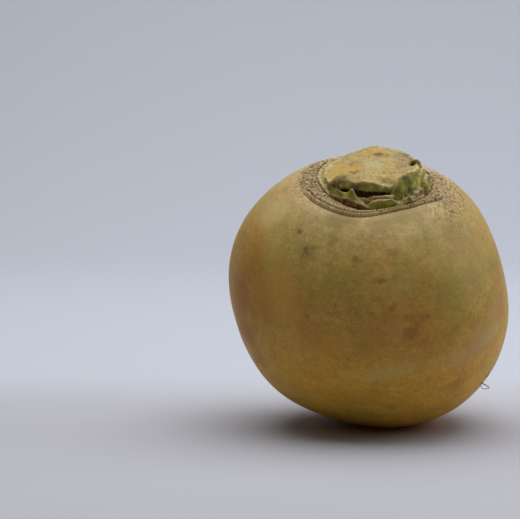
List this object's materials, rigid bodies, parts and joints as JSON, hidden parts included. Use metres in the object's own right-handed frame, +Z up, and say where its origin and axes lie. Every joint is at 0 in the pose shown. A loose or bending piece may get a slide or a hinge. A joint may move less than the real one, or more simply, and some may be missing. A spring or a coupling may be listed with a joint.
{
  "type": "turnip",
  "caption": "Round yellow turnip with its leaves cut off short, a scarred collar round the crown and a trimmed taproot, resting on a small flat spot.",
  "frame": {"origin": "centre of the small flat spot that the turnip rests on", "axes": "+Z up, away from the surface it rests on; -Y towards the side that the leaf crown leans to, which is the side the picture shows; +X to the right as seen from there"},
  "size_m": [0.1109, 0.1087, 0.112],
  "materials": {
    "root_skin": "satin vegetable skin",
    "cut_leaf_stalks": "matt plant tissue"
  },
  "bodies": {
    "root": {"turnip_root": "root_skin", "leaf_crown": "cut_leaf_stalks"}
  },
  "joints": []
}
